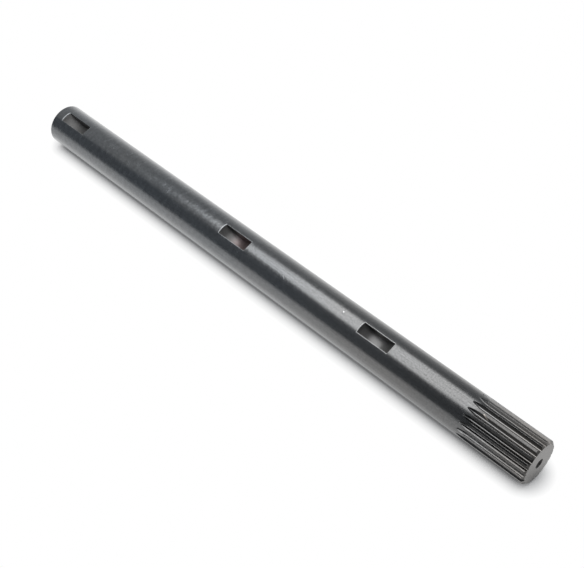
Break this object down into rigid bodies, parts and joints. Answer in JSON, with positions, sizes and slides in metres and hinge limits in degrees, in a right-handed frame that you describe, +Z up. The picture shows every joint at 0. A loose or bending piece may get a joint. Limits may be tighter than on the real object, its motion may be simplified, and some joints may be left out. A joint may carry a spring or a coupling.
{
  "type": "drive shaft",
  "caption": "Round steel drive shaft with Woodruff keyseats in line along its plain length and an involute spline with curved run-outs on one end.",
  "frame": {"origin": "on the shaft's axis, at the plain end face", "axes": "+X along the axis towards the splined end, +Z up as the shaft lies, with the keyseats rolled towards -Y"},
  "size_m": [0.5144, 0.035, 0.035],
  "materials": {
    "shaft": "black oxide, oiled"
  },
  "bodies": {
    "root": {"shaft": "shaft"}
  },
  "joints": []
}
